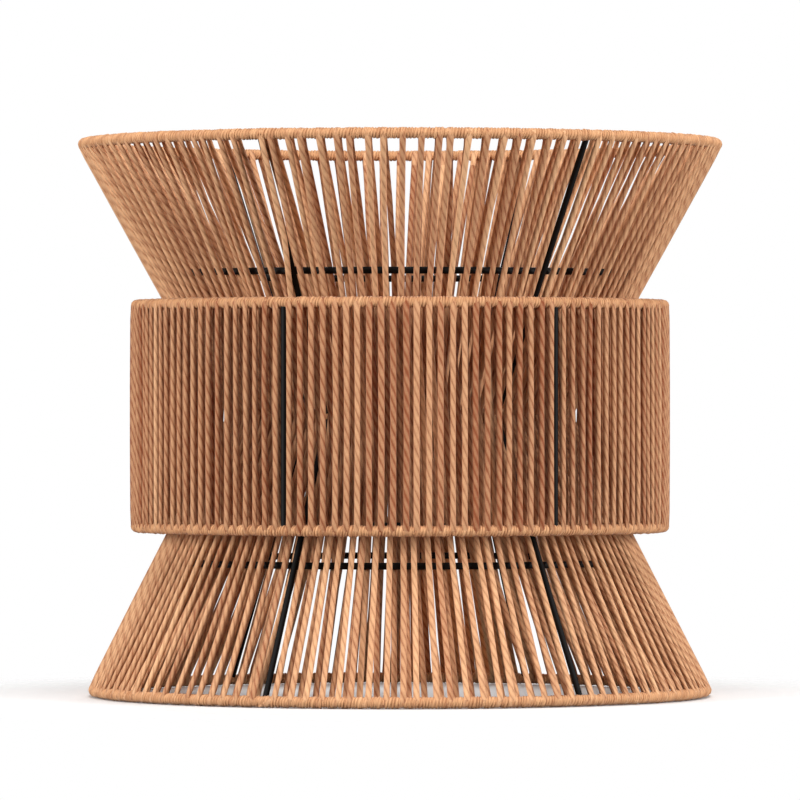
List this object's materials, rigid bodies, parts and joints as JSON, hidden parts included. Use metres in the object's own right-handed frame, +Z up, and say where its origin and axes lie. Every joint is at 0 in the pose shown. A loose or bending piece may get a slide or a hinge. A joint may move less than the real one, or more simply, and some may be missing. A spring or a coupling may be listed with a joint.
{
  "type": "lamp shade",
  "caption": "Three-tier lamp shade: an hourglass wire frame with a drum round its waist, strung and bound with twisted paper cord, hung on a lamp holder by a fitter ring.",
  "frame": {"origin": "centre of the fitter ring's bore, on its underside, where the shade sits on the lamp holder", "axes": "+Z up along the shade's axis and the fitter's bore, +X towards the first row of struts"},
  "size_m": [0.382, 0.382, 0.33],
  "materials": {
    "strung_cord": "matte twisted paper cord, natural tan, wound from ring to ring",
    "bound_cord": "matte thin paper yarn, natural tan, wound tightly round the ring",
    "frame_wire": "matte black powder coat on steel wire",
    "fitter_plate": "matte black powder coat on steel plate"
  },
  "bodies": {
    "root": {"top_ring": "frame_wire", "waist_ring": "frame_wire", "bottom_ring": "frame_wire", "drum_top_ring": "frame_wire", "drum_bottom_ring": "frame_wire", "upper_inner_ring": "frame_wire", "lower_inner_ring": "frame_wire", "upper_strut_1": "frame_wire", "upper_strut_2": "frame_wire", "upper_strut_3": "frame_wire", "upper_strut_4": "frame_wire", "upper_strut_5": "frame_wire", "upper_strut_6": "frame_wire", "lower_strut_1": "frame_wire", "lower_strut_2": "frame_wire", "lower_strut_3": "frame_wire", "lower_strut_4": "frame_wire", "lower_strut_5": "frame_wire", "lower_strut_6": "frame_wire", "drum_strut_1": "frame_wire", "drum_strut_2": "frame_wire", "drum_strut_3": "frame_wire", "drum_strut_4": "frame_wire", "drum_strut_5": "frame_wire", "drum_strut_6": "frame_wire", "upper_spoke_1": "frame_wire", "upper_spoke_2": "frame_wire", "upper_spoke_3": "frame_wire", "upper_spoke_4": "frame_wire", "upper_spoke_5": "frame_wire", "upper_spoke_6": "frame_wire", "lower_spoke_1": "frame_wire", "lower_spoke_2": "frame_wire", "lower_spoke_3": "frame_wire", "lower_spoke_4": "frame_wire", "lower_spoke_5": "frame_wire", "lower_spoke_6": "frame_wire", "fitter_arm_1": "frame_wire", "fitter_arm_2": "frame_wire", "fitter_arm_3": "frame_wire", "fitter_ring": "fitter_plate", "top_binding": "bound_cord", "waist_binding": "bound_cord", "bottom_binding": "bound_cord", "drum_top_binding": "bound_cord", "drum_bottom_binding": "bound_cord", "upper_strands": "strung_cord", "drum_strands": "strung_cord", "lower_strands": "strung_cord"}
  },
  "joints": []
}
